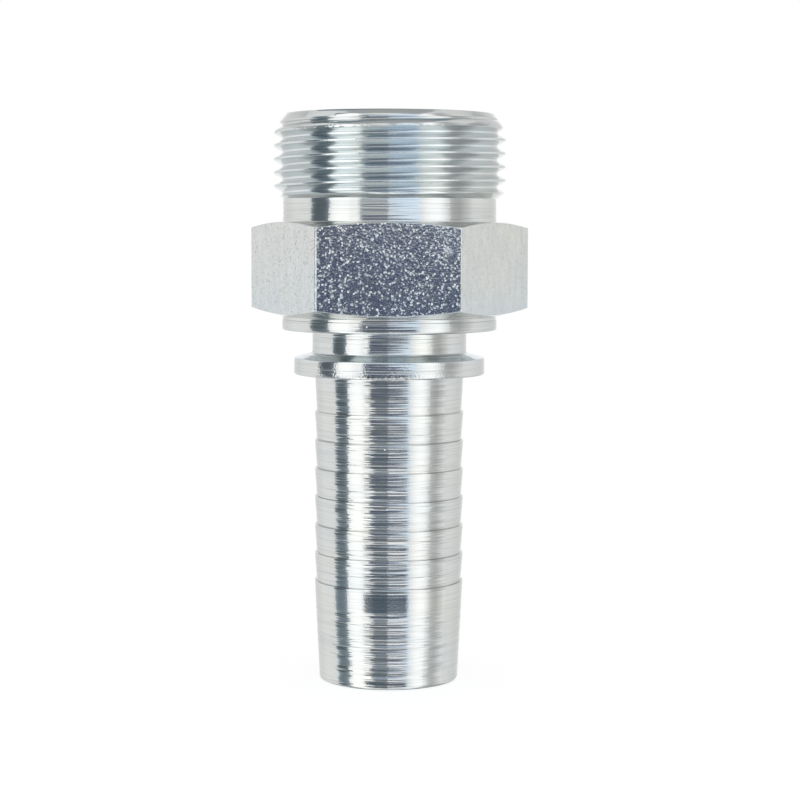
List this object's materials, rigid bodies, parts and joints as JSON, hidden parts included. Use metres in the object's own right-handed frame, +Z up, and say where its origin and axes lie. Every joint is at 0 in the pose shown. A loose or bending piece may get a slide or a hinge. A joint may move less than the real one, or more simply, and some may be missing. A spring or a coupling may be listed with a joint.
{
  "type": "hydraulic hose fitting",
  "caption": "One-piece straight hydraulic hose fitting: male metric thread with an internal 24 degree cone, wrench hexagon and barbed hose tail.",
  "frame": {"origin": "centre of the hose tail's end face, where the fitting stands", "axes": "+Z up the axis from the hose tail to the threaded end, -Y out of one wrench flat, +X through a corner of the hexagon"},
  "size_m": [0.0312, 0.027, 0.0637],
  "materials": {
    "zinc_plated_steel": "turned free-cutting steel with bright clear-passivated zinc plating"
  },
  "bodies": {
    "root": {"hose_stem": "zinc_plated_steel"}
  },
  "joints": []
}
